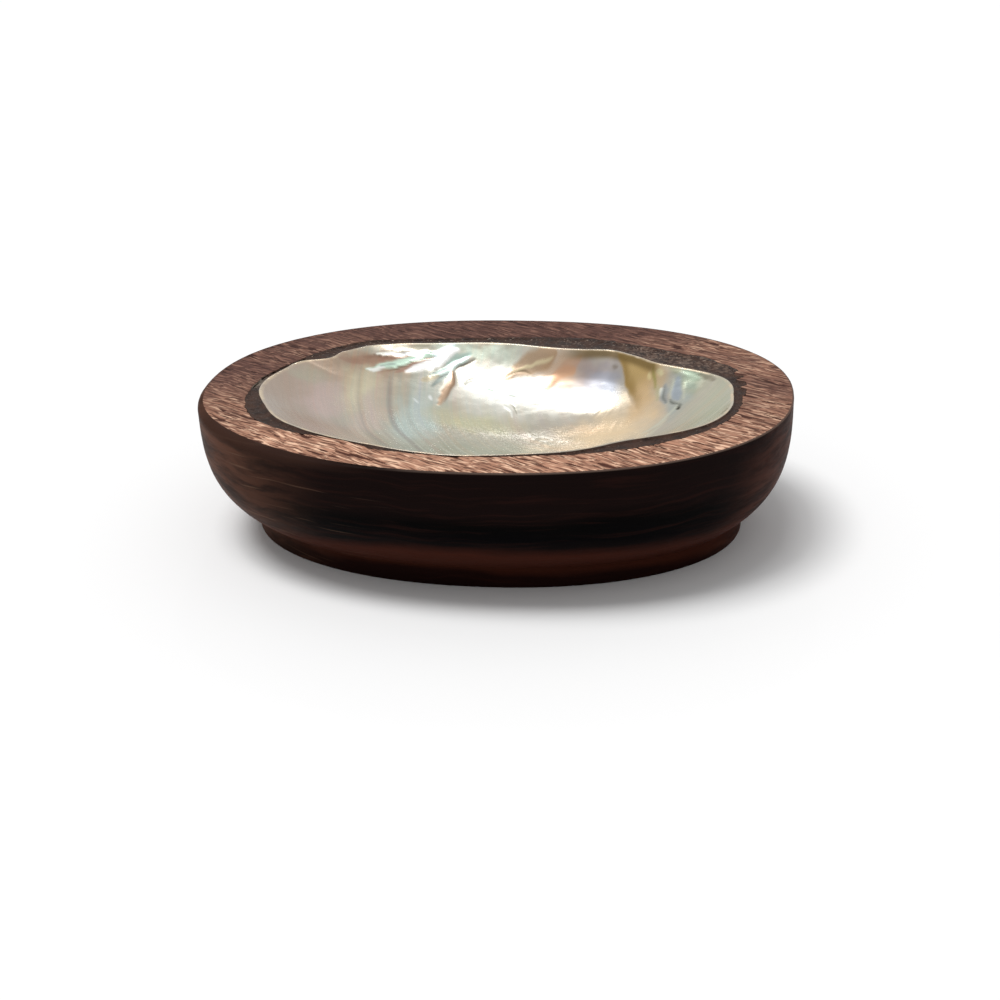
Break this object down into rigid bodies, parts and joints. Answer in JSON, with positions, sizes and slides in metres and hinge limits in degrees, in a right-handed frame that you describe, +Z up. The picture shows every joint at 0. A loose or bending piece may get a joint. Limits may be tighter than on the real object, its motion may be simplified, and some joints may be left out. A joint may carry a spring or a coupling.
{
  "type": "bowl",
  "caption": "Small oval dish carved from dark wood, lined with a mother-of-pearl shell bedded in dark resin, on a low flat foot.",
  "frame": {"origin": "centre of the flat face under the foot, which the bowl rests on", "axes": "+X along the bowl's length towards the end where the shell's hollow is deepest, +Y across it towards the broader side of the rim, +Z up"},
  "size_m": [0.125, 0.088, 0.03],
  "materials": {
    "dark_wood": "satin",
    "dark_resin": "satin",
    "mother_of_pearl": "polished"
  },
  "bodies": {
    "root": {"wooden_bowl": "dark_wood", "resin_bed": "dark_resin", "pearl_shell": "mother_of_pearl"}
  },
  "joints": []
}
